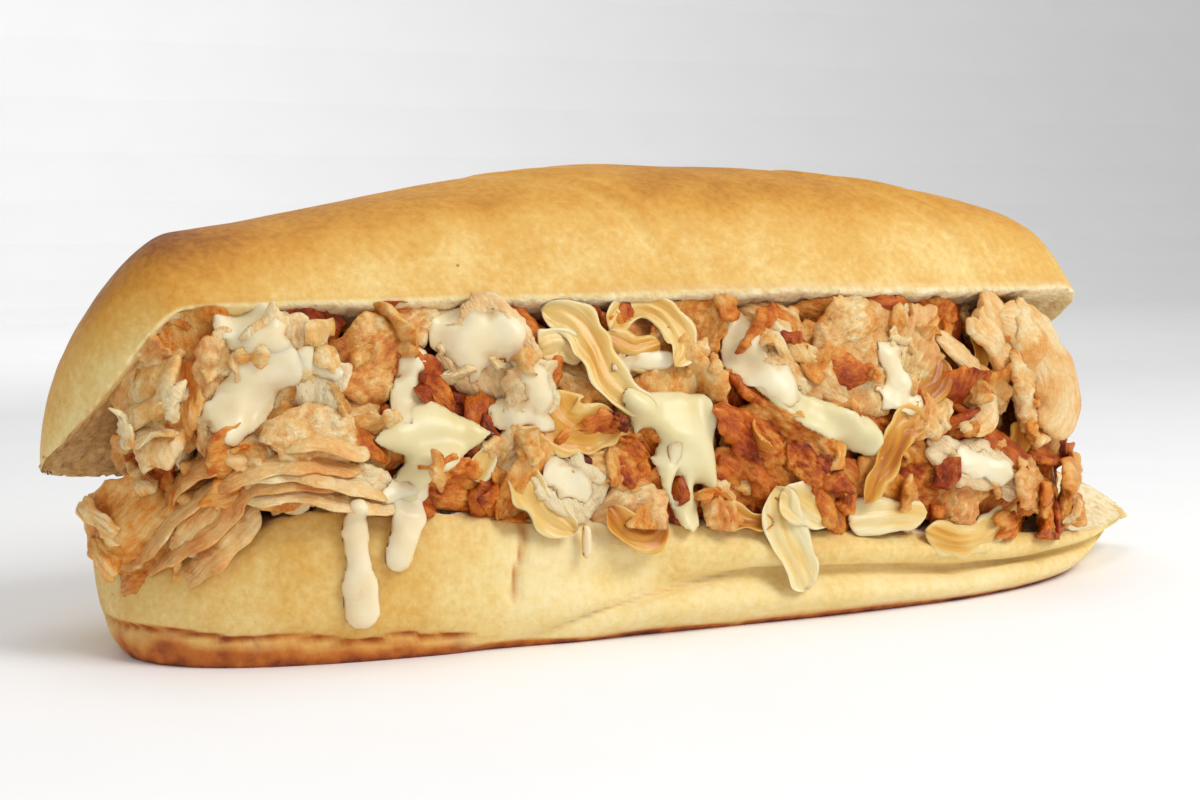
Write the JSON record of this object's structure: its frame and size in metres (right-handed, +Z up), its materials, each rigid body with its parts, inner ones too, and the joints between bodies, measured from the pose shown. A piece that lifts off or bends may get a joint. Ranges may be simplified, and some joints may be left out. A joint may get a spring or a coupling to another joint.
{
  "type": "submarine sandwich",
  "caption": "Hot submarine sandwich: a soft split roll hinged at the back, heaped with chopped chicken, fried onion, melted white cheese and a creamy sauce.",
  "frame": {"origin": "on the flat underside of the roll, under the middle of its length and width", "axes": "+X along the roll to its pointed end, -Y to the open front, +Z up"},
  "size_m": [0.2127, 0.0749, 0.0756],
  "materials": {
    "bread": "soft baked crust, golden on top and pale below, matte",
    "chicken_and_onion": "moist grilled meat and soft onion, satin",
    "cheese": "melting cheese, soft sheen"
  },
  "bodies": {
    "root": {"roll": "bread", "filling": "chicken_and_onion", "cheese_left": "cheese", "cheese_middle": "cheese", "cheese_right": "cheese"}
  },
  "joints": []
}
